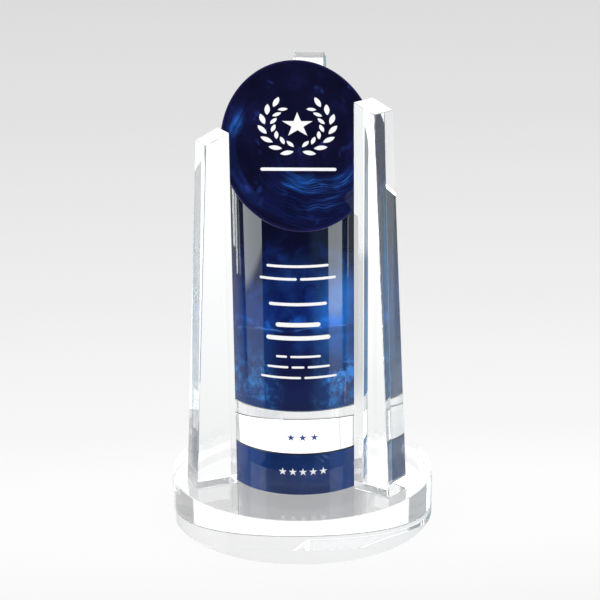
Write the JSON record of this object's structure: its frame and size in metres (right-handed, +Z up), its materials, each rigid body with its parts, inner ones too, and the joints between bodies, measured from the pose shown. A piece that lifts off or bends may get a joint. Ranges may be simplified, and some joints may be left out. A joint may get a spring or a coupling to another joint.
{
  "type": "column trophy",
  "caption": "Free-standing glass trophy: a round swirled-glass column cut at a slant, on stacked disc segments, ringed by tapered clear pillars on a round base.",
  "frame": {"origin": "centre of the base's underside, on the table", "axes": "+Z up along the column, -Y is the side the slanted face looks towards"},
  "size_m": [0.15, 0.15, 0.2592],
  "materials": {
    "clear_crystal": "polished optical crystal, clear",
    "blue_art_glass": "polished art glass, navy with electric-blue swirls",
    "white_fill": "matte white colour-fill in etching",
    "blue_fill": "matte blue colour-fill in etching",
    "adhesive": "clear cured adhesive film"
  },
  "bodies": {
    "root": {"base": "clear_crystal", "lower_segment": "blue_art_glass", "clear_segment": "clear_crystal", "column": "blue_art_glass", "pillar_left": "clear_crystal", "pillar_right": "clear_crystal", "pillar_rear": "clear_crystal", "emblem_fill": "white_fill", "inscription_fill": "white_fill", "clear_segment_fill": "blue_fill", "lower_segment_fill": "white_fill", "base_bond": "adhesive", "segment_bond": "adhesive", "column_bond": "adhesive", "pillar_bonds": "adhesive"}
  },
  "joints": []
}
